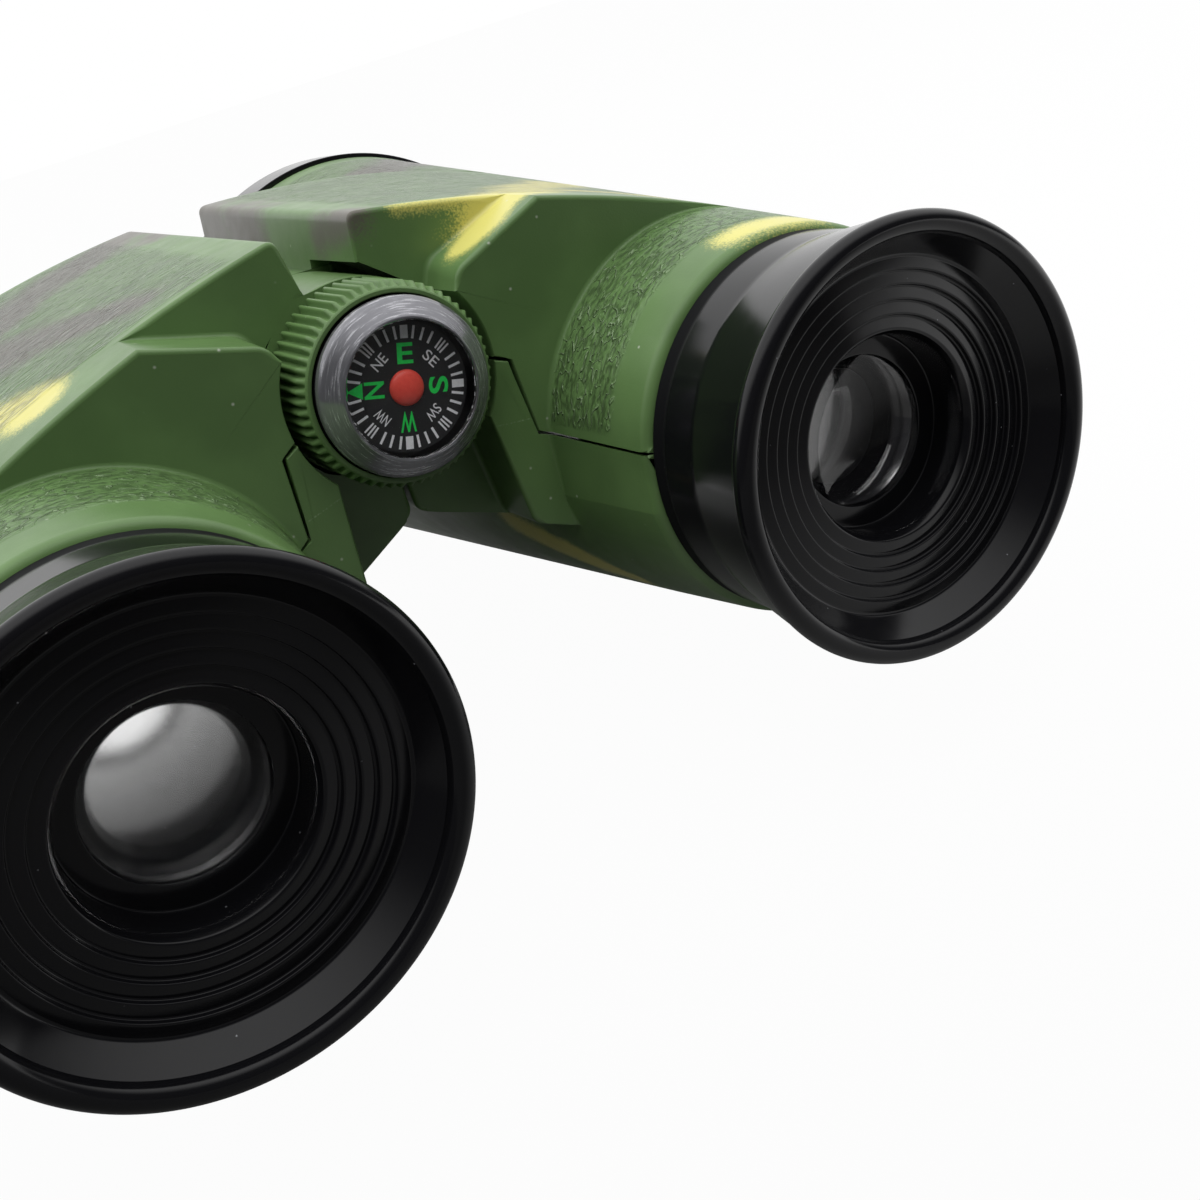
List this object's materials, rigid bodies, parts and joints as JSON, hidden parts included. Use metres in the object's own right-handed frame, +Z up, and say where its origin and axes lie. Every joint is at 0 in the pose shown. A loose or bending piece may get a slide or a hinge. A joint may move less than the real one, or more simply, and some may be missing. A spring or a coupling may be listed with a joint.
{
  "type": "toy binoculars",
  "caption": "Folding toy binoculars with flared eyecups, a ribbed centre knob that carries a button compass, and conical barrels joined by a knuckle hinge.",
  "frame": {"origin": "under the middle of the toy's box, at the height of the lowest points of the two objective hoods", "axes": "+Y along the hinge and both barrels towards the objectives, +Z up, +X to the user's right"},
  "size_m": [0.1082, 0.1201, 0.053],
  "materials": {
    "body_green": "matte moulded plastic with sprayed green, yellow and brown camouflage",
    "gloss_black": "glossy black moulded plastic",
    "lens_clear": "clear moulded acrylic",
    "screw_steel": "zinc plated",
    "pin_steel": "turned steel",
    "knob_green": "matte moulded plastic, ribbed",
    "compass_black": "black moulded plastic",
    "compass_clear": "clear polished acrylic",
    "card_black": "printed black card",
    "cap_red": "red moulded plastic"
  },
  "bodies": {
    "left_half": {"left_upper_shell": "body_green", "left_lower_shell": "body_green", "left_eyepiece": "gloss_black", "left_eye_lens": "lens_clear", "left_eye_retainer": "gloss_black", "left_objective_ring": "gloss_black", "left_objective_lens": "lens_clear", "left_objective_retainer": "gloss_black", "left_shell_screws": "screw_steel", "hinge_pin": "pin_steel", "friction_washer": "pin_steel", "hinge_nut": "pin_steel"},
    "right_half": {"right_upper_shell": "body_green", "right_lower_shell": "body_green", "right_eyepiece": "gloss_black", "right_eye_lens": "lens_clear", "right_eye_retainer": "gloss_black", "right_objective_ring": "gloss_black", "right_objective_lens": "lens_clear", "right_objective_retainer": "gloss_black", "right_shell_screws": "screw_steel", "hinge_cap": "body_green"},
    "knob": {"focus_knob": "knob_green", "compass_base": "compass_black", "compass_case": "compass_clear", "compass_pivot": "pin_steel"},
    "card": {"compass_card": "card_black", "card_cap": "cap_red"}
  },
  "joints": [
    {"name": "fold_hinge", "type": "hinge", "parent": "left_half", "child": "right_half", "pos_m": [0, -0.00435, 0.03937], "axis": [0, -1, 0], "range_deg": [0, 26]},
    {"name": "knob_turn", "type": "hinge", "parent": "left_half", "child": "knob", "pos_m": [0, -0.03225, 0.03937], "axis": [0, 1, 0], "continuous": true},
    {"name": "card_spin", "type": "hinge", "parent": "knob", "child": "card", "pos_m": [0, -0.03625, 0.03937], "axis": [0, 1, 0], "continuous": true}
  ]
}
